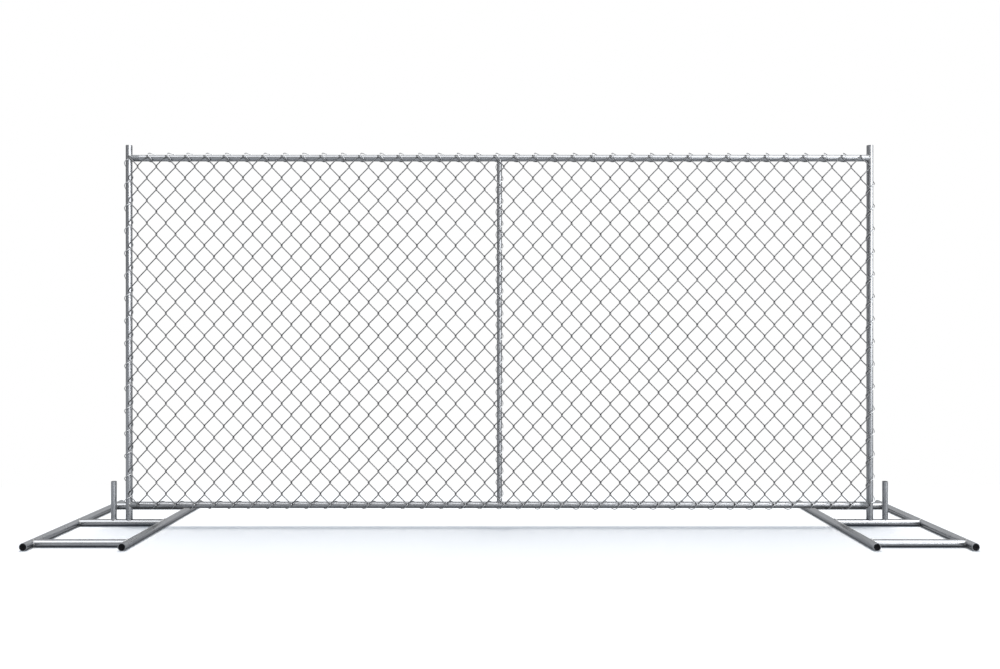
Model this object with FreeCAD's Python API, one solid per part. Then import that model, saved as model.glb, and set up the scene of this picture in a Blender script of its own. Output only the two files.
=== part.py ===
import FreeCAD, Part
import os
from math import pi, sqrt

# A free-standing chain link fence panel on two ladder-shaped tube feet.
# Millimetres, +X along the panel, +Y to the back, +Z up, floor at Z = 0, origin under the panel's middle.

# Panel frame: the posts stand proud of the top rail and run on below the bottom rail
PANEL_WIDTH = 3657.6
PANEL_HEIGHT = 1828.8
FRAME_OD = 31.75
FRAME_WALL = 1.65
TOP_RAIL_DROP = 62.5
BOTTOM_RAIL_RISE = 69.5
CENTRE_POST_OD = 25.4
CENTRE_POST_WALL = 1.5

# Feet: two rails run front to back, three bars join them
FOOT_OD = 34.9
FOOT_WALL = 2.4
FOOT_DEPTH = 1067.0
FOOT_RAIL_PITCH = 428.0
BAR_OFFSETS = {"front_bar": -455.0, "middle_bar": 0.0, "back_bar": 455.0}

# Spigots: one inside the panel's post, one bare for the next panel
SPIGOT_OD = 26.7
SPIGOT_WALL = 2.0
SPIGOT_PITCH = 75.0
SPIGOT_HEIGHT = 185.0
ROOT_STEP = 0.8
ROOT_RISE = 1.0

# Plugs that close the ends of the foot rails
PLUG_LENGTH = 10.0
PLUG_CHAMFER = 1.2

# Chain link laid on the front of the frame, a little to the left: columns of crossings from post to post, half-rows
# from rail to rail
WIRE_DIAMETER = 5.3
HALF_PITCHES_TO_POST = 38.5
HALF_ROWS = 31
LOW_ROW_RISE = 1.5
HIGH_ROW_RISE = 9.5
MESH_SHIFT = -1.6
MESH_SPLIT = 19

# Values worked out from the driving dimensions
FRAME_R = FRAME_OD / 2
FOOT_R = FOOT_OD / 2
SPIGOT_R = SPIGOT_OD / 2
POST_X = PANEL_WIDTH / 2 - FRAME_R
POST_FOOT_Z = FOOT_OD
POST_TOP_Z = POST_FOOT_Z + PANEL_HEIGHT
TOP_RAIL_Z = POST_TOP_Z - TOP_RAIL_DROP
BOTTOM_RAIL_Z = POST_FOOT_Z + BOTTOM_RAIL_RISE
FOOT_CENTRE_X = POST_X + SPIGOT_PITCH / 2
HALF_PITCH = POST_X / HALF_PITCHES_TO_POST
LOW_ROW_Z = BOTTOM_RAIL_Z + LOW_ROW_RISE
HIGH_ROW_Z = TOP_RAIL_Z + HIGH_ROW_RISE
HALF_ROW = (HIGH_ROW_Z - LOW_ROW_Z) / HALF_ROWS
SIDES = {"left": -1, "right": 1}

# A three-sided wire bar with the same section area as the round wire
BAR_BASE = WIRE_DIAMETER * sqrt(pi / sqrt(3))
BAR_HEIGHT = BAR_BASE * sqrt(3) / 2

# The rear bars' ridges touch the front of the frame; the bars end just past the outermost crossings
MESH_Y = -FRAME_R - BAR_HEIGHT
MESH_REACH = BAR_BASE
MESH_BAYS = {
    "mesh_left_outer": (-POST_X - MESH_REACH, -MESH_SPLIT * HALF_PITCH),
    "mesh_left_inner": (-MESH_SPLIT * HALF_PITCH, 0.0),
    "mesh_right_inner": (0.0, MESH_SPLIT * HALF_PITCH),
    "mesh_right_outer": (MESH_SPLIT * HALF_PITCH, POST_X + MESH_REACH),
}

X_AXIS = FreeCAD.Vector(1, 0, 0)
Y_AXIS = FreeCAD.Vector(0, 1, 0)
Z_AXIS = FreeCAD.Vector(0, 0, 1)


def vec(x, y, z):
    return FreeCAD.Vector(x, y, z)


def rod(start, axis, length, radius):
    """Solid round bar from start, along axis."""
    return Part.makeCylinder(radius, length, start, axis)


def tube(start, axis, length, diameter, wall):
    """Round tube from start, along axis, open at both ends."""
    outer = rod(start, axis, length, diameter / 2)
    return outer.cut(rod(start, axis, length, diameter / 2 - wall))


def save(name, shape):
    """Write one piece as its own file."""
    shape.exportStep(os.path.join("parts", name + ".step"))


def post_rod(side):
    """The room that an end post takes up, for the saddle cuts of the rails."""
    return rod(vec(side * POST_X, 0, POST_FOOT_Z), Z_AXIS, PANEL_HEIGHT, FRAME_R)


def end_post(side):
    """End post, cut square at both ends, its foot resting on the foot's middle bar."""
    return tube(vec(side * POST_X, 0, POST_FOOT_Z), Z_AXIS, PANEL_HEIGHT, FRAME_OD, FRAME_WALL)


def panel_rail(height):
    """Rail between the end posts, with a saddle cut at each end."""
    rail = tube(vec(-POST_X, 0, height), X_AXIS, 2 * POST_X, FRAME_OD, FRAME_WALL)
    return rail.cut([post_rod(side) for side in SIDES.values()])


def centre_post():
    """Thinner upright between the two rails, with a saddle cut at each end."""
    length = TOP_RAIL_Z - BOTTOM_RAIL_Z
    post = tube(vec(0, 0, BOTTOM_RAIL_Z), Z_AXIS, length, CENTRE_POST_OD, CENTRE_POST_WALL)
    reach = vec(-FRAME_OD, 0, 0)
    rails = [rod(vec(0, 0, z) + reach, X_AXIS, 2 * FRAME_OD, FRAME_R) for z in (BOTTOM_RAIL_Z, TOP_RAIL_Z)]
    return post.cut(rails)


def foot_rail_start(x):
    return vec(x, -FOOT_DEPTH / 2, FOOT_R)


def foot_rail(x):
    """Floor tube that runs front to back."""
    return tube(foot_rail_start(x), Y_AXIS, FOOT_DEPTH, FOOT_OD, FOOT_WALL)


def foot_bar(centre_x, y):
    """Tube across the foot between its two rails, with a saddle cut at each end."""
    left_x = centre_x - FOOT_RAIL_PITCH / 2
    bar = tube(vec(left_x, y, FOOT_R), X_AXIS, FOOT_RAIL_PITCH, FOOT_OD, FOOT_WALL)
    rails = [rod(foot_rail_start(left_x + step), Y_AXIS, FOOT_DEPTH, FOOT_R) for step in (0, FOOT_RAIL_PITCH)]
    return bar.cut(rails)


def spigot(x):
    """Upright tube on the middle bar: a full-round wall on a slightly thinner root, saddle cut to the bar."""
    wall_z = FOOT_OD + ROOT_RISE
    wall = rod(vec(x, 0, wall_z), Z_AXIS, FOOT_OD + SPIGOT_HEIGHT - wall_z, SPIGOT_R)
    root = rod(vec(x, 0, FOOT_R), Z_AXIS, wall_z - FOOT_R, SPIGOT_R - ROOT_STEP)
    bore = rod(vec(x, 0, FOOT_R), Z_AXIS, FOOT_OD + SPIGOT_HEIGHT, SPIGOT_R - SPIGOT_WALL)
    bar = rod(vec(x - FOOT_OD, 0, FOOT_R), X_AXIS, 2 * FOOT_OD, FOOT_R)
    return wall.fuse(root).cut([bore, bar])


def end_plug(x, end):
    """Plug in a foot rail's bore, its chamfered face level with the tube's end."""
    radius = FOOT_R - FOOT_WALL
    axis = Y_AXIS * end
    start = vec(x, 0, FOOT_R) + axis * (FOOT_DEPTH / 2 - PLUG_LENGTH)
    shank_length = PLUG_LENGTH - PLUG_CHAMFER
    shank = rod(start, axis, shank_length, radius)
    rim = Part.makeCone(radius, radius - PLUG_CHAMFER, PLUG_CHAMFER, start + axis * shank_length, axis)
    return shank.fuse(rim).removeSplitter()


def make_foot(name, side):
    """One ladder foot with its two spigots and four end plugs."""
    centre_x = side * FOOT_CENTRE_X
    for bar, y in BAR_OFFSETS.items():
        save(f"{name}_foot_{bar}", foot_bar(centre_x, y))
    for place, step in (("inner", -FOOT_RAIL_PITCH / 2), ("outer", FOOT_RAIL_PITCH / 2)):
        rail_x = centre_x + side * step
        save(f"{name}_foot_{place}_rail", foot_rail(rail_x))
        save(f"{name}_{place}_front_plug", end_plug(rail_x, -1))
        save(f"{name}_{place}_back_plug", end_plug(rail_x, 1))
    save(f"{name}_panel_spigot", spigot(side * POST_X))
    save(f"{name}_spare_spigot", spigot(side * (POST_X + SPIGOT_PITCH)))


def wire_bar(start, end, ridge_side):
    """Three-sided bar from start to end, its flat face on the mesh plane, its ridge to the front or the back."""
    run = end - start
    across = vec(-run.z, 0, run.x).normalize() * (BAR_BASE / 2)
    ridge = vec(0, ridge_side * BAR_HEIGHT, 0)
    section = Part.makePolygon([start - across, start + across, start + ridge, start - across])
    return Part.Face(section).extrude(run)


def wire_bars(slope, left_x, right_x, low_z, high_z):
    """All bars of one slope whose straight run passes through the given window."""
    bars = []
    reach = HALF_PITCH / 4
    grade = slope * HALF_ROW / HALF_PITCH
    first = int(-HALF_PITCHES_TO_POST) - HALF_ROWS - 1
    for line in range(first - first % 2, 2 - first, 2):
        base_z = LOW_ROW_Z - (slope * 0.5 + line) * HALF_ROW
        ends = sorted([(low_z - base_z) / grade, (high_z - base_z) / grade])
        near = max(left_x, ends[0])
        far = min(right_x, ends[1])
        if far - near < reach:
            continue
        near -= reach
        far += reach
        start = vec(near, MESH_Y, base_z + grade * near)
        end = vec(far, MESH_Y, base_z + grade * far)
        bars.append(wire_bar(start, end, -slope))
    return bars


def mesh_bay(left_x, right_x):
    """Chain link lattice: rising bars in front, falling bars behind, fused where they cross."""
    low_z = LOW_ROW_Z - MESH_REACH
    high_z = HIGH_ROW_Z + MESH_REACH
    window = (left_x, right_x, low_z, high_z)
    bars = wire_bars(1, *window) + wire_bars(-1, *window)
    corner = vec(left_x, MESH_Y - BAR_BASE, low_z)
    opening = Part.makeBox(right_x - left_x, 2 * BAR_BASE, high_z - low_z, corner)
    lattice = bars[0].multiFuse(bars[1:]).common(opening).removeSplitter()
    lattice.translate(vec(MESH_SHIFT, 0, 0))
    return lattice


def main():
    os.makedirs("parts", exist_ok=True)
    for name, side in SIDES.items():
        save(f"{name}_post", end_post(side))
        make_foot(name, side)
    save("top_rail", panel_rail(TOP_RAIL_Z))
    save("bottom_rail", panel_rail(BOTTOM_RAIL_Z))
    save("centre_post", centre_post())
    for name, edges in MESH_BAYS.items():
        save(name, mesh_bay(*edges))


main()
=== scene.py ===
import math
import bpy
import numpy as np
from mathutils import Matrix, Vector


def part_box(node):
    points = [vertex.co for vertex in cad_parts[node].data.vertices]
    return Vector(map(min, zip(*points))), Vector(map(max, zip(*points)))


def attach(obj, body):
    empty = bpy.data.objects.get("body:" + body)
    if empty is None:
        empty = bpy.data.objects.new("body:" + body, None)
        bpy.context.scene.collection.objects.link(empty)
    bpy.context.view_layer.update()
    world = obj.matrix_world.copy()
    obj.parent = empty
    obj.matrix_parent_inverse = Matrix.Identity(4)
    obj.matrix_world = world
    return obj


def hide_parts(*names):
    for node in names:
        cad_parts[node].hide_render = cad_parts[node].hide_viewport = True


# Looks of a chain link temporary fence panel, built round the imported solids. Metres, +X along the panel,
# +Y to the back, +Z up.

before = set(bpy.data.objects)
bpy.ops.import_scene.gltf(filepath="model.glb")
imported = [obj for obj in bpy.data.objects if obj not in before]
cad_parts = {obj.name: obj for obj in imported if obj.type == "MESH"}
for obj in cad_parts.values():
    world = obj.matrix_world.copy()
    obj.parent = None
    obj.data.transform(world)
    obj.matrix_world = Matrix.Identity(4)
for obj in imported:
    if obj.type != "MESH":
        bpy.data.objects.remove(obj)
for startup in ("Cube", "Light", "Camera"):
    if startup in bpy.data.objects:
        bpy.data.objects.remove(bpy.data.objects[startup])
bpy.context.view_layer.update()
MM = 0.001


# Places read from the solids

def centre_of(node):
    """Middle of a solid's box."""
    low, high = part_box(node)
    return (np.array(low) + np.array(high)) / 2


def size_of(node):
    """Lengths of the sides of a solid's box."""
    low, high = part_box(node)
    return np.array(high) - np.array(low)


POST_X = centre_of("right_post")[0]
TOP_Z = centre_of("top_rail")[2]
BOTTOM_Z = centre_of("bottom_rail")[2]
FRAME_R = size_of("top_rail")[1] / 2
CENTRE_R = size_of("centre_post")[0] / 2
FOOT_R = size_of("left_foot_outer_rail")[0] / 2
FOOT_END_Y = size_of("left_foot_outer_rail")[1] / 2
FOOT_CENTRE_X = centre_of("right_foot_middle_bar")[0]
FOOT_HALF_PITCH = centre_of("right_foot_outer_rail")[0] - FOOT_CENTRE_X
BAR_YS = [centre_of(f"right_foot_{bar}_bar")[1] for bar in ("front", "middle", "back")]
SPARE_X = centre_of("right_spare_spigot")[0]

# Chain link: columns of crossings from post to post, half-rows from rail to rail
WIRE_R = 2.65 * MM
HALF_PITCHES_TO_POST = 38.5
HALF_PITCH = POST_X / HALF_PITCHES_TO_POST
HALF_ROWS = 31
LOW_ROW_ABOVE_RAIL = 1.5 * MM
HIGH_ROW_ABOVE_RAIL = 9.5 * MM
LOW_ROW_Z = BOTTOM_Z + LOW_ROW_ABOVE_RAIL
HIGH_ROW_Z = TOP_Z + HIGH_ROW_ABOVE_RAIL
HALF_ROW = (HIGH_ROW_Z - LOW_ROW_Z) / HALF_ROWS
LINK_X = (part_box("mesh_left_outer")[0][0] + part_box("mesh_right_outer")[1][0]) / 2
WEAVE_DEPTH = 3.6 * MM
HOOK_REACH = 2.66 * MM
TUBE_CLEARANCE = 0.05 * MM
LINK_Y = -FRAME_R - WIRE_R - WEAVE_DEPTH - TUBE_CLEARANCE
# First and last wire of each bay, counted from the middle of the panel
BAYS = {"left_outer": (-39, -20), "left_inner": (-19, -1), "right_inner": (0, 18), "right_outer": (19, 37)}


# Surfaces

def unit(vectors):
    """Each vector divided by its own length."""
    return vectors / np.linalg.norm(vectors, axis=-1, keepdims=True)


def runs_of(path, closed=False):
    """Direction of a path at each point: the sum of the unit steps before and after it, made unit again."""
    if closed:
        step = unit(np.roll(path, -1, axis=-2) - path)
        return unit(step + np.roll(step, 1, axis=-2))
    step = unit(np.diff(path, axis=-2))
    before = np.concatenate([step[..., :1, :], step], axis=-2)
    after = np.concatenate([step, step[..., -1:, :]], axis=-2)
    return unit(before + after)


def carried_ring(path, hint, radius, sides, closed=False):
    """A round profile carried along a path: each path point gets a ring of points at the given radius, in the
    plane square to the path; the ring starts square to the hint."""
    run = runs_of(path, closed)
    across = unit(np.cross(run, hint))
    over = np.cross(run, across)
    angle = 2 * np.pi * np.arange(sides) / sides
    radius = np.broadcast_to(np.asarray(radius, float), path.shape[:-1])[..., None, None]
    spread = np.cos(angle)[:, None] * across[..., None, :] + np.sin(angle)[:, None] * over[..., None, :]
    return path[..., None, :] + radius * spread


def tube_faces(strips, rings, sides, closed=False):
    """Corner numbers for a number of equal tubes, each a grid of rings by sides that closes round its section.
    An open tube also gets a flat cap at each end."""
    ring = np.arange(rings if closed else rings - 1)[:, None]
    ahead = (ring + 1) % rings
    side = np.arange(sides)
    beside = (side + 1) % sides
    quads = np.stack([ring * sides + side, ring * sides + beside, ahead * sides + beside, ahead * sides + side], -1)
    first = np.arange(strips)[:, None] * (rings * sides)
    faces = [(first + quads.reshape(1, -1)).reshape(-1, 4)]
    if not closed:
        faces += [first + side[::-1], first + (rings - 1) * sides + side]
    return faces


def make_piece(name, points, faces, finish):
    """A piece of the object from an array of points and lists of corner numbers, with its four-cornered faces smooth
    shaded, riding on the root."""
    mesh = bpy.data.meshes.new(name)
    points = np.asarray(points, np.float32).reshape(-1, 3)
    corners = np.concatenate([np.asarray(block).ravel() for block in faces]).astype(np.int32)
    counts = np.concatenate([np.full(len(block), np.shape(block)[1]) for block in faces])
    starts = (np.cumsum(counts) - counts).astype(np.int32)
    mesh.vertices.add(len(points))
    mesh.vertices.foreach_set("co", points.ravel())
    mesh.loops.add(len(corners))
    mesh.loops.foreach_set("vertex_index", corners)
    mesh.polygons.add(len(starts))
    mesh.polygons.foreach_set("loop_start", starts)
    mesh.polygons.foreach_set("use_smooth", counts == 4)
    mesh.update(calc_edges=True)
    mesh.validate()
    mesh.materials.append(finish)
    piece = bpy.data.objects.new(name, mesh)
    bpy.context.scene.collection.objects.link(piece)
    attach(piece, "root")
    return piece


# Finishes

class Shades:
    """Short way to lay out the nodes of one finish."""

    def __init__(self, tree):
        self.tree = tree
        self.tree.nodes.clear()

    def add(self, kind, settings=None, **inputs):
        """One node with its settings, and its inputs set to a value or joined to another node's output. An input is
        given by its name with _ for each space, or by its number after an i."""
        node = self.tree.nodes.new(kind)
        for key, value in (settings or {}).items():
            setattr(node, key, value)
        for key, value in inputs.items():
            numbered = key[0] == "i" and key[1:].isdigit()
            socket = node.inputs[int(key[1:]) if numbered else key.replace("_", " ")]
            if isinstance(value, bpy.types.NodeSocket):
                self.tree.links.new(value, socket)
            else:
                socket.default_value = value
        return node

    def calc(self, operation, first, second=0.0, third=0.0, clamp=False):
        """One arithmetic step."""
        settings = {"operation": operation, "use_clamp": clamp}
        return self.add("ShaderNodeMath", settings, i0=first, i1=second, i2=third).outputs[0]

    def spread(self, value, low, high, to_low, to_high):
        """A value moved from one range to another, held at its ends."""
        return self.add("ShaderNodeMapRange", i0=value, i1=low, i2=high, i3=to_low, i4=to_high).outputs[0]

    def ramp(self, value, low, high, colours):
        """A colour that goes from the first to the second of two as a value goes from low to high."""
        node = self.add("ShaderNodeValToRGB", i0=value)
        for element, place, colour in zip(node.color_ramp.elements, (low, high), colours):
            element.position = place
            element.color = (*colour, 1.0)
        return node.outputs[0]


def new_finish(name):
    """An empty material and its node layout."""
    finish = bpy.data.materials.new(name)
    finish.use_nodes = True
    return finish, Shades(finish.node_tree)


def end_finish(shades, surface):
    """Joins the last shader to the surface output."""
    output = shades.add("ShaderNodeOutputMaterial")
    shades.tree.links.new(surface, output.inputs["Surface"])


# Two colours of each finish, between which it varies
ZINC = (0.200, 0.206, 0.216), (0.243, 0.250, 0.262)
ZINC_PAINT = (0.128, 0.135, 0.142), (0.172, 0.180, 0.190)
WELD_ZINC = (0.135, 0.132, 0.128), (0.315, 0.318, 0.322)
BLACK_PLASTIC = (0.004, 0.004, 0.005), (0.010, 0.010, 0.011)

# Plain colours
# Colour of the painted shade that darkens tube undersides near the floor
PAINTED_SHADE_COLOUR = (0.050, 0.048, 0.045, 1.0)
WHITE = (1.0, 1.0, 1.0, 1.0)

# Tubes: streaks to the metre, shares of the three patterns in the colour, and roughness from the brightest zinc to the
# dullest
STREAKS_ACROSS, STREAKS_ALONG = 260.0, 6.0
SPANGLE_SHARE, STREAK_SHARE, CLOUD_SHARE = 0.22, 0.33, 0.55
TUBE_DULLING = (0.25, 0.32)
CENTRE_POST_DULLING = (0.34, 0.42)
# Weld paint and the painted shade on tube undersides: how far their edges fade and wander, and the roughness that they
# add
PAINT_FADE, PAINT_WANDER, PAINT_DULLING = 3 * MM, 35 * MM, 0.34
PAINTED_SHADE_FADE, PAINTED_SHADE_WANDER, PAINTED_SHADE_DULLING = 7 * MM, 12 * MM, 0.15


def zinc_tube_finish(name, along, dulling=TUBE_DULLING, painted_ends=None, painted_shade=None):
    """Galvanised tube: crystal spangle cells, faint drawn streaks along the tube and cloudy dulling between the two
    roughness values. Beyond either of the two places given along it, it also has dull zinc paint brushed over its
    weld, and below a given height its underside is darkened by a given share with painted shade, both with an uneven
    edge."""
    finish, s = new_finish(name)
    place = s.add("ShaderNodeTexCoord").outputs["Object"]
    stretch = [STREAKS_ACROSS] * 3
    stretch["xyz".index(along)] = STREAKS_ALONG
    drawn = s.add("ShaderNodeMapping", Vector=place, Scale=stretch).outputs[0]
    streak = s.add("ShaderNodeTexNoise", Vector=drawn, Scale=1.0, Detail=3.0, Roughness=0.6).outputs[0]
    cells = s.add("ShaderNodeTexVoronoi", Vector=place, Scale=120.0).outputs["Color"]
    spangle = s.add("ShaderNodeSeparateColor", Color=cells).outputs[0]
    cloud = s.add("ShaderNodeTexNoise", Vector=place, Scale=9.0, Detail=4.0, Roughness=0.55).outputs[0]
    mix = s.calc("MULTIPLY_ADD", streak, STREAK_SHARE, s.calc("MULTIPLY", cloud, CLOUD_SHARE))
    mix = s.calc("MULTIPLY_ADD", spangle, SPANGLE_SHARE, mix)
    colour = s.ramp(mix, 0.25, 0.85, ZINC)
    dull = s.spread(s.calc("MULTIPLY_ADD", cloud, 0.8, s.calc("MULTIPLY", spangle, 0.2)), 0.2, 0.8, *dulling)
    if painted_ends or painted_shade:
        xyz = s.add("ShaderNodeSeparateXYZ", Vector=place).outputs
        daub = s.add("ShaderNodeTexNoise", Vector=place, Scale=55.0, Detail=4.0, Roughness=0.65).outputs[0]
        uneven = s.calc("SUBTRACT", daub, 0.5)
    if painted_ends:
        left, right = painted_ends
        length = s.calc("MULTIPLY_ADD", uneven, PAINT_WANDER, xyz["xyz".index(along)])
        on_left = s.spread(length, left - PAINT_FADE, left + PAINT_FADE, 1.0, 0.0)
        on_right = s.spread(length, right - PAINT_FADE, right + PAINT_FADE, 0.0, 1.0)
        painted = s.calc("MAXIMUM", on_left, on_right)
        paint = s.ramp(streak, 0.3, 0.7, ZINC_PAINT)
        colour = s.add("ShaderNodeMix", {"data_type": "RGBA"}, i0=painted, i6=colour, i7=paint).outputs[2]
        dull = s.calc("MULTIPLY_ADD", painted, PAINT_DULLING, dull)
    # Painted shade: below the given height the colour is mixed towards near black, and the surface is made rougher
    if painted_shade:
        height, share = painted_shade
        level = s.calc("MULTIPLY_ADD", uneven, PAINTED_SHADE_WANDER, xyz["Z"])
        shade_amount = s.spread(level, height - PAINTED_SHADE_FADE, height, share, 0.0)
        colour = s.add("ShaderNodeMix", {"data_type": "RGBA"}, i0=shade_amount, i6=colour, i7=PAINTED_SHADE_COLOUR).outputs[2]
        dull = s.calc("MULTIPLY_ADD", shade_amount, PAINTED_SHADE_DULLING, dull)
    grain = s.calc("MULTIPLY_ADD", streak, 0.6, s.calc("MULTIPLY", spangle, 0.4))
    bump = s.add("ShaderNodeBump", Strength=0.012, Distance=0.0003, Height=grain).outputs[0]
    metal = s.add("ShaderNodeBsdfPrincipled", Base_Color=colour, Roughness=dull, Normal=bump, Metallic=1.0,
                  Specular_Tint=(0.5, 0.5, 0.5, 1.0))
    end_finish(s, metal.outputs[0])
    return finish


def cool_grey(level):
    """A grey with a little blue in it."""
    return level, 1.02 * level, 1.05 * level


def zinc_wire_finish(name, dark, light):
    """Galvanised wire: fine grain with dull patches a few centimetres long, between a dark and a light grey."""
    finish, s = new_finish(name)
    place = s.add("ShaderNodeTexCoord").outputs["Object"]
    patch = s.add("ShaderNodeTexNoise", Vector=place, Scale=28.0, Detail=3.0).outputs[0]
    grain = s.add("ShaderNodeTexNoise", Vector=place, Scale=900.0, Detail=2.0).outputs[0]
    mix = s.calc("MULTIPLY_ADD", patch, 0.7, s.calc("MULTIPLY", grain, 0.3))
    colour = s.ramp(mix, 0.3, 0.7, (cool_grey(dark), cool_grey(light)))
    dull = s.spread(patch, 0.3, 0.7, 0.18, 0.25)
    bump = s.add("ShaderNodeBump", Strength=0.15, Distance=0.0002, Height=grain).outputs[0]
    metal = s.add("ShaderNodeBsdfPrincipled", Base_Color=colour, Roughness=dull, Normal=bump, Metallic=1.0,
                  Specular_Tint=(0.15, 0.15, 0.15, 1.0))
    end_finish(s, metal.outputs[0])
    return finish


def weld_finish(name):
    """Weld bead under cold zinc paint: duller than the tube, with dark heat marks."""
    finish, s = new_finish(name)
    place = s.add("ShaderNodeTexCoord").outputs["Object"]
    heat = s.add("ShaderNodeTexNoise", Vector=place, Scale=140.0, Detail=4.0).outputs[0]
    colour = s.ramp(heat, 0.3, 0.6, WELD_ZINC)
    dull = s.spread(heat, 0.3, 0.7, 0.55, 0.38)
    bump = s.add("ShaderNodeBump", Strength=0.3, Distance=0.0005, Height=heat).outputs[0]
    metal = s.add("ShaderNodeBsdfPrincipled", Base_Color=colour, Roughness=dull, Normal=bump, Metallic=1.0)
    end_finish(s, metal.outputs[0])
    return finish


def plug_finish(name):
    """Black moulded plastic with a fine matt grain and faint grey scuffs."""
    finish, s = new_finish(name)
    place = s.add("ShaderNodeTexCoord").outputs["Object"]
    grain = s.add("ShaderNodeTexNoise", Vector=place, Scale=1500.0, Detail=2.0).outputs[0]
    scuff = s.add("ShaderNodeTexNoise", Vector=place, Scale=120.0, Detail=5.0, Roughness=0.7).outputs[0]
    colour = s.ramp(scuff, 0.45, 0.75, BLACK_PLASTIC)
    dull = s.spread(scuff, 0.3, 0.7, 0.4, 0.6)
    bump = s.add("ShaderNodeBump", Strength=0.2, Distance=0.0002, Height=grain).outputs[0]
    plastic = s.add("ShaderNodeBsdfPrincipled", Base_Color=colour, Roughness=dull, Normal=bump,
                    Specular_IOR_Level=0.06)
    end_finish(s, plastic.outputs[0])
    return finish


# Height below which a tube's underside is darkened with painted shade, and by what share
FOOT_PAINTED_SHADE = (FOOT_R - 2 * MM, 0.3)
RAIL_PAINTED_SHADE = (BOTTOM_Z - 3 * MM, 0.7)
# The paint over a weld reaches this far from the post; the top rail's right end is bare
PAINT_REACH = 37 * MM
PAINT_X = POST_X - FRAME_R - PAINT_REACH
TUBE_FINISH = {along: zinc_tube_finish(f"galvanised_tube_along_{along}", along, painted_shade=FOOT_PAINTED_SHADE) for along in "xyz"}
OWN_FINISH = {
    "top_rail": zinc_tube_finish("galvanised_top_rail", "x", painted_ends=(-PAINT_X, POST_X)),
    "bottom_rail": zinc_tube_finish("galvanised_bottom_rail", "x", painted_ends=(-PAINT_X, PAINT_X), painted_shade=RAIL_PAINTED_SHADE),
    "centre_post": zinc_tube_finish("galvanised_centre_post", "z", CENTRE_POST_DULLING),
}
WIRE_FINISH = zinc_wire_finish("galvanised_wire_finish", dark=0.098, light=0.128)
LACING_FINISH = zinc_wire_finish("lacing_wire_finish", dark=0.30, light=0.39)
WELD_FINISH = weld_finish("weld_bead_finish")
PLUG_FINISH = plug_finish("black_plug_finish")


def finish_solids():
    """Gives each solid that shows its own finish, or else the one whose streaks run along its longest side."""
    for node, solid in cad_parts.items():
        if node.startswith("mesh") or node.endswith("plug"):
            continue
        along = "xyz"[int(np.argmax(size_of(node)))]
        for holder in solid.material_slots:
            holder.material = OWN_FINISH.get(node, TUBE_FINISH[along])


# Chain link

# Places along a half-row where the wire has a ring, close together at the bends
RUN_STEPS = np.array([0.0, 0.03, 0.06, 0.1, 0.16, 0.84, 0.9, 0.94, 0.97])
BEND_SHARPNESS = 0.998
CHANGE_SHARPNESS = 7.0
KNOT_STEPS = np.linspace(0.125, 1.0, 8)
KNOT_TURN = 1.6 * np.pi
KNOT_LENGTH = 8.0 * MM
LOW_KNOT_LIFT = 5.0 * MM
HIGH_KNOT_DROP = 7.0 * MM
# Share of a half-row over which the last bend is drawn in from its rail
DRAWN_SHARE = 0.25
WIRE_SIDES = 6
# How far the lacing draws the chain link in at each end post, and the distance over which that fades
LEFT_PULL, LEFT_PULL_SPAN = 8.0 * MM, 80 * MM
RIGHT_PULL, RIGHT_PULL_SPAN = 5.0 * MM, 300 * MM


def edge_pull(x):
    """How far the lacing draws the chain link in from the end posts: it fades with the distance from each post as e to
    the minus distance over a span."""
    from_left = LEFT_PULL * np.exp(-(x + POST_X) / LEFT_PULL_SPAN)
    from_right = RIGHT_PULL * np.exp(-(POST_X - x) / RIGHT_PULL_SPAN)
    return from_left - from_right


def woven_path(wires):
    """Centre lines of the spiral wires between columns k and k + 1: as the height grows by whole half-rows, the wire
    swings across as a triangle wave with rounded corners, the arcsine of a slightly flattened cosine, and goes from
    front to back at each bend as the arctangent of a steepened sine. The last bends are drawn in from the rails by a
    square law, and each end is twisted round its neighbour."""
    k = wires[:, None]
    t = np.append((np.arange(HALF_ROWS)[:, None] + RUN_STEPS).ravel(), HALF_ROWS)
    phase = np.pi * (t + k)
    swing = -np.arcsin(BEND_SHARPNESS * np.cos(phase)) / np.arcsin(BEND_SHARPNESS)
    depth = -np.arctan(CHANGE_SHARPNESS * np.sin(phase)) / np.arctan(CHANGE_SHARPNESS)
    x = LINK_X + HALF_PITCH * (k + 1) + (HALF_PITCH / 2 + HOOK_REACH) * swing
    x += edge_pull(x)
    y = LINK_Y + WEAVE_DEPTH * depth
    low_draw = LOW_KNOT_LIFT * np.clip(1 - t / DRAWN_SHARE, 0.0, 1.0) ** 2
    high_draw = HIGH_KNOT_DROP * np.clip(1 - (HALF_ROWS - t) / DRAWN_SHARE, 0.0, 1.0) ** 2
    z = np.broadcast_to(LOW_ROW_Z + HALF_ROW * t + low_draw - high_draw, x.shape)
    body = np.stack([x, y, z], axis=-1)

    def knot(row, start_z, way):
        """The knuckle past the last bend: a helix of nearly one turn round the crossing's upright axis, so that the two
        ends that meet there make a two-strand twist."""
        side = np.where((k + row) % 2 == 0, -1.0, 1.0)
        turn = KNOT_TURN * KNOT_STEPS
        crossing_x = LINK_X + HALF_PITCH * (k + 1 + side / 2)
        knot_x = crossing_x + edge_pull(crossing_x) + side * HOOK_REACH * np.cos(turn)
        knot_y = LINK_Y + way * side * HOOK_REACH * np.sin(turn)
        knot_z = np.broadcast_to(start_z + way * KNOT_LENGTH * KNOT_STEPS, knot_x.shape)
        return np.stack([knot_x, knot_y, knot_z], axis=-1)

    low_knot = knot(0, LOW_ROW_Z + LOW_KNOT_LIFT, -1)[:, ::-1]
    high_knot = knot(HALF_ROWS, HIGH_ROW_Z - HIGH_KNOT_DROP, 1)
    return np.concatenate([low_knot, body, high_knot], axis=1)


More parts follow.
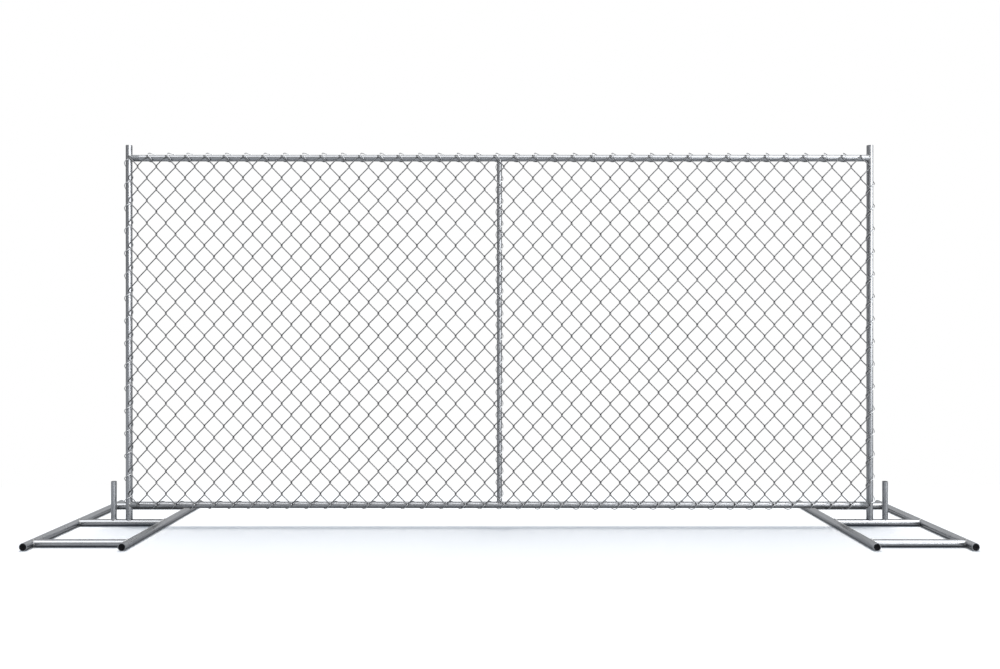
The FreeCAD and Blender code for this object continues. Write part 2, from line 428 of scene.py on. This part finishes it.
def chain_link_bay(bay, first, last):
    """One bay of woven wires in place of its lattice solid."""
    path = woven_path(np.arange(first, last + 1))
    points = carried_ring(path, np.array([0.0, 1.0, 0.0]), WIRE_R, WIRE_SIDES)
    faces = tube_faces(path.shape[0], path.shape[1], WIRE_SIDES)
    piece = make_piece(f"chain_link_{bay}", points, faces, WIRE_FINISH)
    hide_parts(f"mesh_{bay}")


# Lacing wire wound round the frame tubes and over the edge of the chain link

LACING_R = 1.75 * MM
LACING_STEPS = 30
RAIL_LACING_WIDE = 21.0 * MM
RAIL_LACING_NARROW = 17.9 * MM
POST_LACING_WIDE = 19.0 * MM
CENTRE_LACING_WIDE = 17.5 * MM
# Share of the length after which a lacing's width changes, and over which it does
WIDENS_AFTER = 0.42
WIDENS_OVER = 0.2


def lacing_wire(name, tube_axis, centre, start, pitch, turns, crowd, front, back, wide, wide_end=None, rise=0.0):
    """A wire wound round a tube: a long spiral whose turn is an ellipse, from its front depth to its back depth, with
    the half width given and raised by the given rise, and with the front half of each turn crowded into a shorter
    length, or drawn back, by a sine and its double. Near the middle the half width goes to its end value as half a
    cosine. Where the ellipse would cut into the tube, the wire lies on it."""
    first, last = turns
    n = np.linspace(first, last, int(round((last - first) * LACING_STEPS)) + 1)
    angle = 2 * np.pi * n
    once, twice = crowd
    along = start + pitch * (n - once * np.sin(angle) / (2 * np.pi) - twice * np.sin(2 * angle) / (4 * np.pi))
    depth = (front + back) / 2 + (front - back) / 2 * np.cos(angle)
    late = np.clip(((n - first) / (last - first) - WIDENS_AFTER) / WIDENS_OVER, 0.0, 1.0)
    half_width = wide + ((wide_end or wide) - wide) * (0.5 - 0.5 * np.cos(np.pi * late))
    across = half_width * np.sin(angle) + rise
    clear = np.maximum(1.0, back / np.hypot(depth, across))
    depth, across = depth * clear, across * clear
    fixed = np.full_like(n, centre)
    if tube_axis == "x":
        path = np.stack([along, depth, fixed + across], axis=-1)
        hint = np.array([1.0, 0.0, 0.0])
    else:
        path = np.stack([fixed + across, depth, along], axis=-1)
        hint = np.array([0.0, 0.0, 1.0])
    points = carried_ring(path, hint, LACING_R, WIRE_SIDES)
    make_piece(name, points, tube_faces(1, len(n), WIRE_SIDES), LACING_FINISH)


def column_x(i):
    """Place of a column of crossings."""
    return LINK_X + HALF_PITCH * (i + 0.5)


def row_z(j):
    """Height of a row of crossings."""
    return LOW_ROW_Z + HALF_ROW * j


def lace_frame():
    """Lacing on both rails, both end posts and the centre post, one turn for each diamond."""
    front = LINK_Y - WEAVE_DEPTH - LACING_R
    back = FRAME_R + LACING_R
    across, up = 2 * HALF_PITCH, 2 * HALF_ROW
    lacing_wire("lacing_top_rail", "x", TOP_Z, start=column_x(-37) + 17 * MM, pitch=across, turns=(-0.45, 36.45),
                crowd=(1.85, 0.15), front=front, back=back, wide=RAIL_LACING_WIDE, rise=2.5 * MM)
    lacing_wire("lacing_bottom_rail", "x", BOTTOM_Z, start=column_x(-38) - 4 * MM, pitch=across, turns=(0.55, 37.45),
                crowd=(0.0, 0.0), front=front, back=back, wide=RAIL_LACING_NARROW, wide_end=RAIL_LACING_WIDE)
    lacing_wire("lacing_left_post", "z", -POST_X, start=row_z(1) - 22 * MM, pitch=up, turns=(-0.5, 15.05),
                crowd=(0.42, 0.0), front=front, back=back, wide=POST_LACING_WIDE)
    lacing_wire("lacing_right_post", "z", POST_X, start=row_z(0) + 13 * MM, pitch=up, turns=(-0.05, 14.5),
                crowd=(0.3, 0.0), front=front, back=back, wide=POST_LACING_WIDE)
    lacing_wire("lacing_centre_post", "z", 0.0, start=row_z(0.5), pitch=up, turns=(-0.1, 14.9),
                crowd=(0.0, 0.0), front=front, back=CENTRE_R + LACING_R, wide=CENTRE_LACING_WIDE)


# Welds

BEAD_STEPS = 96
BEAD_SIDES = 8
FRAME_BEAD_R = 2.2 * MM
FOOT_BEAD_R = 2.6 * MM
SPIGOT_BEAD_R = 1.8 * MM
SPIGOT_BEAD_INSET = 0.8 * MM
FLOOR_GAP = 0.2 * MM
# Keeps the line off the main tube's edge where both tubes are equally wide
SADDLE_SHARE = 0.985
# Number round the bead and share of its radius, of the fine ripples and of the slow swells
RIPPLES, RIPPLE_SHARE = 14, 0.10
SWELLS, SWELL_SHARE, SWELL_START = 5, 0.06, 1.3


def bead_points(joint, branch, main, branch_r, main_r, bead_r):
    """A weld bead along the line where a branch tube meets a main tube: round the branch, the line stands back from the
    main tube's axis by the height of the main tube's arc at that place, and the bead's radius grows and shrinks in
    fine ripples and slow swells. Near the floor the line is lifted clear of it."""
    angle = 2 * np.pi * np.arange(BEAD_STEPS) / BEAD_STEPS
    side = np.cross(branch, main)
    aside = branch_r * np.cos(angle)
    stand = np.sqrt(main_r ** 2 - (SADDLE_SHARE * aside) ** 2)
    path = joint + aside[:, None] * side + (branch_r * np.sin(angle))[:, None] * main - stand[:, None] * branch
    ripple = RIPPLE_SHARE * np.abs(np.sin(RIPPLES * angle))
    swell = SWELL_SHARE * np.sin(SWELLS * angle + SWELL_START)
    radius = bead_r * (1 + ripple + swell)
    path[:, 2] = np.maximum(path[:, 2], radius + FLOOR_GAP)
    return carried_ring(path, np.array(branch, float), radius, BEAD_SIDES, closed=True)


def weld_group(name, beads):
    """Several beads as one piece."""
    faces = tube_faces(len(beads), BEAD_STEPS, BEAD_SIDES, closed=True)
    make_piece(name, np.stack(beads), faces, WELD_FINISH)


def weld_joints():
    """Beads at the rails' ends, the centre post's ends, the foot bars' ends and the bare spigots."""
    x, y, z = np.eye(3)
    frame_beads = []
    for height in (TOP_Z, BOTTOM_Z):
        for side in (-1, 1):
            joint = np.array([side * POST_X, 0.0, height])
            frame_beads.append(bead_points(joint, side * x, z, FRAME_R, FRAME_R, FRAME_BEAD_R))
    for way, height in ((1, TOP_Z), (-1, BOTTOM_Z)):
        joint = np.array([0.0, 0.0, height])
        frame_beads.append(bead_points(joint, way * z, x, CENTRE_R, FRAME_R, FRAME_BEAD_R))
    weld_group("welds_frame", frame_beads)
    spigot_r = size_of("right_spare_spigot")[0] / 2 - SPIGOT_BEAD_INSET
    for name, side in (("left", -1), ("right", 1)):
        beads = []
        for bar_y in BAR_YS:
            for end in (-1, 1):
                joint = np.array([side * FOOT_CENTRE_X + end * FOOT_HALF_PITCH, bar_y, FOOT_R])
                beads.append(bead_points(joint, end * x, y, FOOT_R, FOOT_R, FOOT_BEAD_R))
        spigot_foot = np.array([side * SPARE_X, 0.0, FOOT_R])
        beads.append(bead_points(spigot_foot, -z, x, spigot_r, FOOT_R, SPIGOT_BEAD_R))
        weld_group(f"welds_{name}_foot", beads)


# End plugs

PLUG_SEGMENTS = 48
# Radius and depth below the tube's end, from the shank to the middle of the face
PLUG_PROFILE = np.array([
    (0.0, 10.0), (13.4, 10.0), (13.6, 9.8), (14.85, 6.0), (15.0, 2.0), (14.95, 1.1), (14.6, 0.55), (14.0, 0.3),
    (13.0, 0.25), (10.0, 0.5), (7.6, 0.7), (7.2, 0.8), (6.9, 1.5), (6.5, 1.7), (2.6, 1.75), (2.3, 1.7), (1.9, 1.35),
    (0.0, 1.3),
]) * MM


def end_plugs():
    """Turned plugs in the ends of the foot rails: a profile of radius and depth carried round the tube's axis, with a
    fan of triangles to a middle point at each end."""
    seg = np.arange(PLUG_SEGMENTS)
    ahead = (seg + 1) % PLUG_SEGMENTS
    angle = 2 * np.pi * seg / PLUG_SEGMENTS
    reach, depth = PLUG_PROFILE[1:-1].T
    rings = len(reach)
    last = (rings - 1) * PLUG_SEGMENTS
    pole = rings * PLUG_SEGMENTS
    body = tube_faces(1, rings, PLUG_SEGMENTS)[0]
    back_fan = np.stack([np.full_like(seg, pole), ahead, seg], axis=-1)
    face_fan = np.stack([np.full_like(seg, pole + 1), last + seg, last + ahead], axis=-1)
    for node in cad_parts:
        if not node.endswith("plug"):
            continue
        x, y, z = centre_of(node)
        end = np.sign(y)
        ring_x = x - end * reach[:, None] * np.cos(angle)
        ring_z = z + reach[:, None] * np.sin(angle)
        ring_y = np.broadcast_to(end * (FOOT_END_Y - depth)[:, None], ring_x.shape)
        points = np.stack([ring_x, ring_y, ring_z], axis=-1).reshape(-1, 3)
        poles = [(x, end * (FOOT_END_Y - pole_depth), z) for pole_depth in PLUG_PROFILE[[0, -1], 1]]
        points = np.concatenate([points, poles])
        name = node.replace("_plug", "_turned_plug")
        piece = make_piece(name, points, [body, back_fan, face_fan], PLUG_FINISH)
        piece.data.polygons.foreach_set("use_smooth", np.ones(len(piece.data.polygons), bool))
        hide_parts(node)


# Studio

FLOOR_HALF = 60.0
FLOOR_COLOUR = (0.95, 0.95, 0.95, 1.0)
FLOOR_GLOW = 0.1
SWEEP_START = 0.6
SWEEP_END = 1.2

# What metal sees of the surroundings. Places are parts of a unit direction, or angles in degrees from the panel's
# front, up or to the right as the camera sees it.
FRONT_LIGHT, BACK_LIGHT, BACK_EDGE = 0.6, 1.8, (0.45, 0.75)
STRIP_TILT, STRIP_WIDTH = 62, 29
STRIP_LEFT_EDGE, STRIP_RIGHT_EDGE, STRIP_LOW_EDGE = (-0.74, -0.64), (0.69, 0.79), (0.1, 0.4)
STRIP_LIGHT, STRIP_RIGHT_LIGHT, STRIP_GROWTH = 6.0, 14.0, (0.28, 0.68)
STRIP_LIFTS_FROM = 0.42
SHADE_TILT, SHADE_WIDTH = 42, 18
SHADE_LEFT_EDGE, SHADE_FADE, SHADE_SHARE = (-0.38, -0.36), (-0.3, 0.32), 0.95
TALL_LIGHT = 8.7
TALL_LEFT_EDGE, TALL_RIGHT_EDGE = (10, 14), (75, 85)
TALL_LOW_EDGE, TALL_HIGH_EDGE = (-0.05, 0.03), (0.13, 0.28)
SKY_COLOUR, SKY_LIGHT = (0.55, 1.0, 1.6, 1.0), 0.15

LAMP_LIGHT = 3.25
LAMP_COLOUR = (1.0, 0.97, 0.93)
LAMP_SPREAD = math.radians(45.0)
LAMP_TILT = math.radians(-17.0)

CAMERA_PLACE = (0.0026, -4.622, 0.942)
CAMERA_LENS = 33.985
CAMERA_TILT = math.pi / 2 - 0.000794


def studio_floor():
    """White floor: it takes the shadow as a matt surface, and glows a little for the lens so that it reads as white.
    Behind the panel it turns into a plain white backdrop."""
    finish, s = new_finish("studio_floor_finish")
    path = s.add("ShaderNodeLightPath").outputs
    mirrored = s.calc("ADD", path["Is Glossy Ray"], path["Is Transmission Ray"])
    seen = s.calc("ADD", path["Is Camera Ray"], mirrored, clamp=True)
    matt = s.add("ShaderNodeBsdfDiffuse", Color=FLOOR_COLOUR)
    place = s.add("ShaderNodeTexCoord").outputs["Object"]
    depth = s.add("ShaderNodeSeparateXYZ", Vector=place).outputs["Y"]
    glow = s.add("ShaderNodeEmission", Color=WHITE, Strength=s.calc("MULTIPLY", seen, FLOOR_GLOW))
    both = s.add("ShaderNodeAddShader", i0=matt.outputs[0], i1=glow.outputs[0])
    backdrop = s.add("ShaderNodeEmission", Color=WHITE, Strength=seen)
    far = s.spread(depth, SWEEP_START, SWEEP_END, 0.0, 1.0)
    sweep = s.add("ShaderNodeMixShader", i0=far, i1=both.outputs[0], i2=backdrop.outputs[0])
    end_finish(s, sweep.outputs[0])
    mesh = bpy.data.meshes.new("studio_floor")
    h = FLOOR_HALF
    mesh.from_pydata([(-h, -h, 0), (h, -h, 0), (h, h, 0), (-h, h, 0)], [], [(0, 1, 2, 3)])
    mesh.materials.append(finish)
    floor = bpy.data.objects.new("studio_floor", mesh)
    bpy.context.scene.collection.objects.link(floor)


def studio_world():
    """White surroundings for the lens. Metal sees them pale in front and brighter at the back, with a bright strip
    overhead that is shaded low on its left, and a tall light to the right of the camera; matt surfaces get an even,
    slightly cool sky."""
    world = bpy.data.worlds.new("studio")
    bpy.context.scene.world = world
    world.use_nodes = True
    s = Shades(world.node_tree)
    facing = s.add("ShaderNodeTexCoord").outputs["Generated"]
    way = s.add("ShaderNodeSeparateXYZ", Vector=facing).outputs
    ahead = s.calc("MULTIPLY", way["Y"], -1.0)

    def bump(angle, middle, width):
        """A soft bell round an angle in degrees: e to the minus square of the distance over the width."""
        off = s.calc("DIVIDE", s.calc("SUBTRACT", angle, math.radians(middle)), math.radians(width))
        return s.calc("EXPONENT", s.calc("MULTIPLY", s.calc("MULTIPLY", off, off), -1.0))

    def rise(value, edge):
        """From none to all across an edge."""
        return s.spread(value, *edge, 0.0, 1.0)

    def fall(value, edge):
        """From all to none across an edge."""
        return s.spread(value, *edge, 1.0, 0.0)

    tilt = s.calc("ARCTAN2", way["Z"], ahead)
    turn = s.calc("ARCTAN2", way["X"], ahead)
    lift = s.calc("MAXIMUM", s.calc("SUBTRACT", way["X"], STRIP_LIFTS_FROM), 0.0)
    raised = rise(s.calc("SUBTRACT", way["Z"], lift), STRIP_LOW_EDGE)
    ends = s.calc("MULTIPLY", rise(way["X"], STRIP_LEFT_EDGE), fall(way["X"], STRIP_RIGHT_EDGE))
    stronger = s.spread(way["X"], *STRIP_GROWTH, STRIP_LIGHT, STRIP_RIGHT_LIGHT)
    leftward = s.calc("MULTIPLY", rise(way["X"], SHADE_LEFT_EDGE), s.spread(way["X"], *SHADE_FADE, SHADE_SHARE, 0.0))
    shaded = s.calc("SUBTRACT", 1.0, s.calc("MULTIPLY", leftward, bump(tilt, SHADE_TILT, SHADE_WIDTH)))
    band = s.calc("MULTIPLY", s.calc("MULTIPLY", bump(tilt, STRIP_TILT, STRIP_WIDTH), raised), shaded)
    strip = s.calc("MULTIPLY", s.calc("MULTIPLY", band, ends), stronger)
    window = s.calc("MULTIPLY", rise(turn, np.radians(TALL_LEFT_EDGE)), fall(turn, np.radians(TALL_RIGHT_EDGE)))
    upright = s.calc("MULTIPLY", rise(way["Z"], TALL_LOW_EDGE), fall(way["Z"], TALL_HIGH_EDGE))
    tall = s.calc("MULTIPLY", s.calc("MULTIPLY", window, upright), TALL_LIGHT)
    behind = s.spread(way["Y"], *BACK_EDGE, FRONT_LIGHT, BACK_LIGHT)
    light = s.calc("ADD", s.calc("ADD", strip, tall), behind)
    path = s.add("ShaderNodeLightPath").outputs
    plain = s.calc("ADD", path["Is Camera Ray"], path["Is Transmission Ray"], clamp=True)
    white = s.add("ShaderNodeBackground", Color=WHITE, Strength=1.0)
    mirror = s.add("ShaderNodeBackground", Color=WHITE, Strength=light)
    sky = s.add("ShaderNodeBackground", Color=SKY_COLOUR, Strength=SKY_LIGHT)
    lit = s.add("ShaderNodeMixShader", i0=path["Is Glossy Ray"], i1=sky.outputs[0], i2=mirror.outputs[0])
    shown = s.add("ShaderNodeMixShader", i0=plain, i1=lit.outputs[0], i2=white.outputs[0])
    output = s.add("ShaderNodeOutputWorld")
    s.tree.links.new(shown.outputs[0], output.inputs["Surface"])


def studio_sun():
    """Overhead lamp from slightly behind the panel, which draws its shadow on the floor in front."""
    lamp = bpy.data.lights.new("overhead_lamp", "SUN")
    lamp.energy = LAMP_LIGHT
    lamp.angle = LAMP_SPREAD
    lamp.color = LAMP_COLOUR
    holder = bpy.data.objects.new("overhead_lamp", lamp)
    holder.rotation_euler = (LAMP_TILT, 0.0, 0.0)
    holder.visible_glossy = False
    bpy.context.scene.collection.objects.link(holder)


def camera():
    """Level camera at the photograph's place."""
    lens = bpy.data.cameras.new("camera")
    lens.sensor_width = 36.0
    lens.lens = CAMERA_LENS
    lens.clip_end = 200.0
    holder = bpy.data.objects.new("camera", lens)
    holder.location = CAMERA_PLACE
    holder.rotation_euler = (CAMERA_TILT, 0.0, 0.0)
    bpy.context.scene.collection.objects.link(holder)
    bpy.context.scene.camera = holder


finish_solids()
for bay, (first, last) in BAYS.items():
    chain_link_bay(bay, first, last)
lace_frame()
weld_joints()
end_plugs()
studio_floor()
studio_world()
studio_sun()
camera()
bpy.context.scene.view_settings.view_transform = "Standard"
